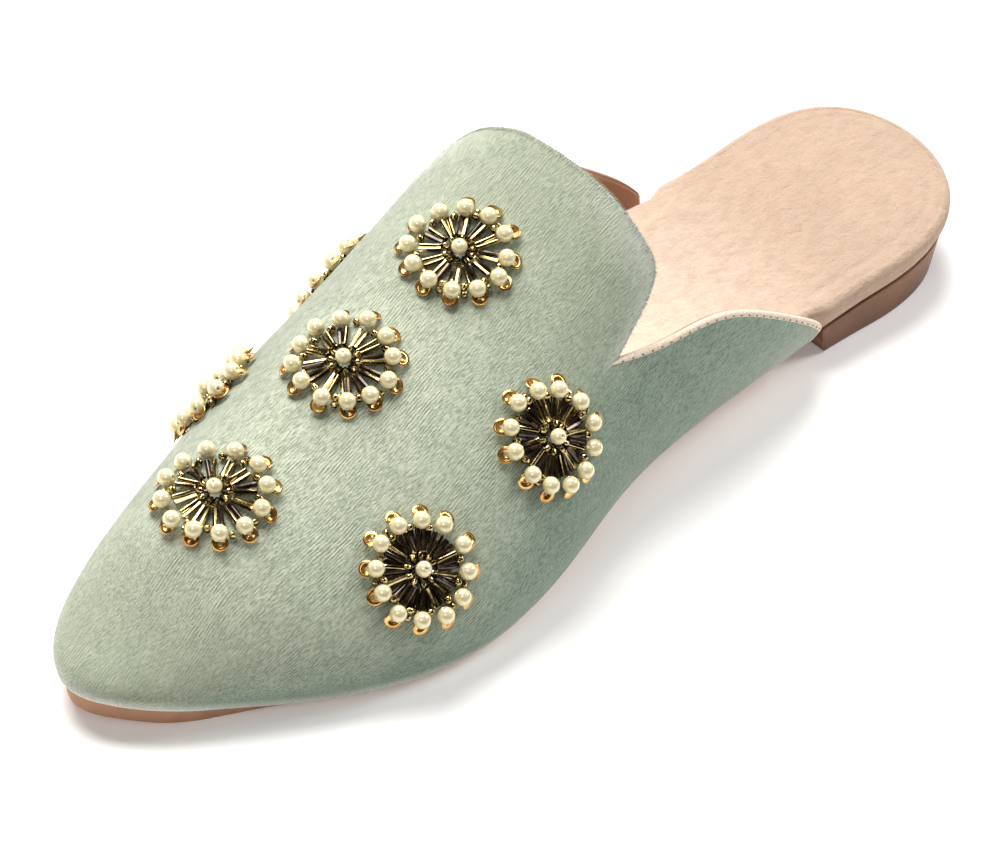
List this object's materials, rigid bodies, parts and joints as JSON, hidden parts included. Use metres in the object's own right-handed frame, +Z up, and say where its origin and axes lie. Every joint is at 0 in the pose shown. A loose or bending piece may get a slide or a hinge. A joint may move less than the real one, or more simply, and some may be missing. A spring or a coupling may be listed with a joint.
{
  "type": "embroidered mule slipper",
  "caption": "Right-foot backless velvet mule with an almond toe, high tongue, tapering side wings, padded insole, low heel and bead medallions.",
  "frame": {"origin": "centre of the shoe's box at the height of the ground it stands on", "axes": "+Z up, -Y towards the toe, +Y towards the heel, +X towards the inner side of the foot"},
  "size_m": [0.088, 0.2504, 0.0671],
  "materials": {
    "velvet": "sage green cotton velvet, short dense pile",
    "lining": "smooth pinkish beige lining",
    "suede": "beige imitation suede over foam",
    "outsole": "brown, satin",
    "heel": "brown covered block, satin",
    "pearl": "cream pearl lustre",
    "bronze": "bronze and gold glass beads with a metal lustre",
    "amber": "amber sequins, clear gloss"
  },
  "bodies": {
    "root": {"upper": "velvet", "insole": "suede", "outsole": "outsole", "heel": "heel", "medallion_centre_front": "pearl", "medallion_centre_middle": "pearl", "medallion_centre_back": "pearl", "medallion_inner_front": "pearl", "medallion_inner_back": "pearl", "medallion_outer_front": "pearl", "medallion_outer_back": "pearl"}
  },
  "joints": []
}
